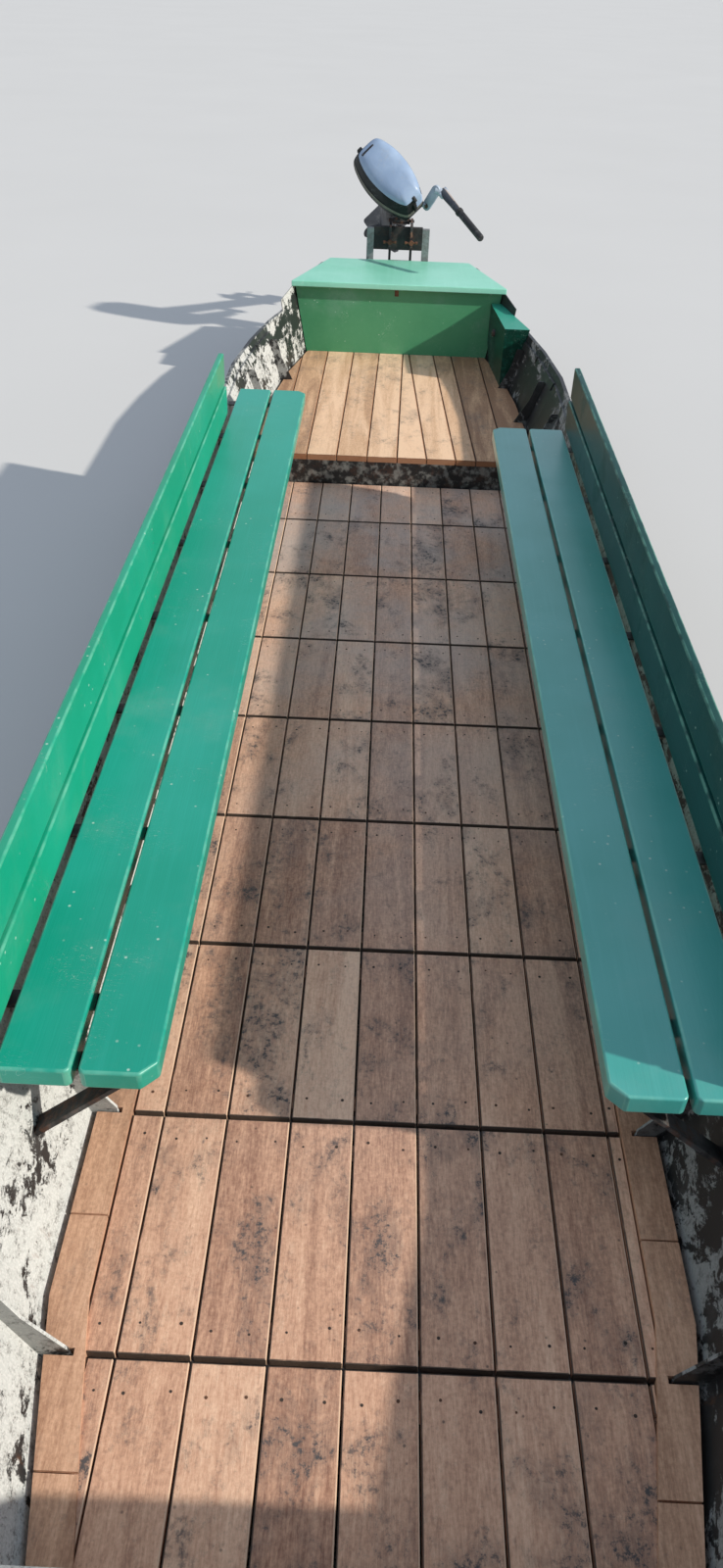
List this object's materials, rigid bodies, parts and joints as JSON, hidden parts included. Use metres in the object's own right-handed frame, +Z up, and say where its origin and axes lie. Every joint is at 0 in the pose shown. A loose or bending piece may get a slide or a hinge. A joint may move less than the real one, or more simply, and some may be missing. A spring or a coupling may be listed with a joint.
{
  "type": "open flat-bottomed steel boat with outboard motor",
  "caption": "Open flat-bottomed steel boat with plank side benches, slatted hardwood floor, raised aft deck, helm seat and a tilted tiller outboard motor.",
  "frame": {"origin": "underside of the flat bottom, on the centre line, 4 m from each end of the plating", "axes": "+Z up, +Y towards the stern, +X to port"},
  "size_m": [1.5476, 8.8476, 1.2273],
  "materials": {
    "bare_steel": "black paint with rust",
    "deck_boards": "bare oiled hardwood",
    "floor_boards": "bare weathered hardwood",
    "galvanised": "dull galvanised",
    "green_wood": "gloss green paint",
    "grip_rubber": "ribbed black",
    "hull_steel": "black bitumen paint, worn",
    "motor_black": "satin black",
    "motor_grey": "satin blue-grey",
    "motor_leg_paint": "satin dark grey",
    "motor_pad_board": "black stained hardwood",
    "motor_pan_plastic": "satin blue-black",
    "propeller_paint": "satin black"
  },
  "bodies": {
    "hull": {"bottom_mid": "hull_steel", "bottom_bow": "hull_steel", "bottom_stern": "hull_steel", "side_plates_bow": "hull_steel", "side_plates_fore": "hull_steel", "side_plates_mid": "hull_steel", "side_plates_quarter": "hull_steel", "side_plates_aft": "hull_steel", "side_plates_seat": "hull_steel", "side_plates_stern": "hull_steel", "bow_transom": "hull_steel", "stern_transom": "hull_steel", "foredeck": "hull_steel", "fore_bulkhead": "hull_steel", "aft_riser": "hull_steel", "stern_cheeks": "hull_steel", "ribs": "hull_steel", "inner_rails": "hull_steel", "gunwale_bow": "hull_steel", "gunwale_mid": "hull_steel", "gunwale_aft": "hull_steel", "floor_bearers": "bare_steel", "mooring_lugs": "bare_steel", "bench_brackets_port": "bare_steel", "bench_brackets_starboard": "bare_steel", "floor_panel_1": "floor_boards", "floor_panel_2": "floor_boards", "floor_panel_3": "floor_boards", "floor_panel_4": "floor_boards", "floor_panel_5": "floor_boards", "floor_panel_6": "floor_boards", "floor_panel_7": "floor_boards", "floor_panel_8": "floor_boards", "floor_panel_9": "floor_boards", "margin_planks": "deck_boards", "aft_deck": "deck_boards", "helm_seat_front": "green_wood", "helm_seat_top": "green_wood", "quarter_box": "green_wood", "bench_seat_port": "green_wood", "bench_seat_starboard": "green_wood", "bench_back_port": "green_wood", "bench_back_starboard": "green_wood", "motor_posts": "galvanised", "motor_pad": "motor_pad_board", "clamp_bracket": "motor_black"},
    "motor_bracket": {"swivel_bracket": "motor_black"},
    "motor": {"motor_leg": "motor_leg_paint", "gearcase": "motor_leg_paint", "motor_pan": "motor_pan_plastic", "motor_cowl": "motor_grey", "tiller_arm": "motor_leg_paint", "tiller_grip": "grip_rubber"},
    "propeller": {"propeller": "propeller_paint"}
  },
  "joints": [
    {"name": "motor_tilt", "type": "hinge", "parent": "hull", "child": "motor_bracket", "pos_m": [0, 4.068, 0.806], "axis": [1, 0, 0], "range_deg": [-58, 0]},
    {"name": "motor_steer", "type": "hinge", "parent": "motor_bracket", "child": "motor", "pos_m": [0, 4.10615, 0.86706], "axis": [0, -0.848, 0.5299], "range_deg": [-90, 0]},
    {"name": "propeller_spin", "type": "hinge", "parent": "motor", "child": "propeller", "pos_m": [-0.14991, 4.75633, 0.63755], "axis": [-0.7071, 0.3747, 0.5997], "continuous": true}
  ]
}
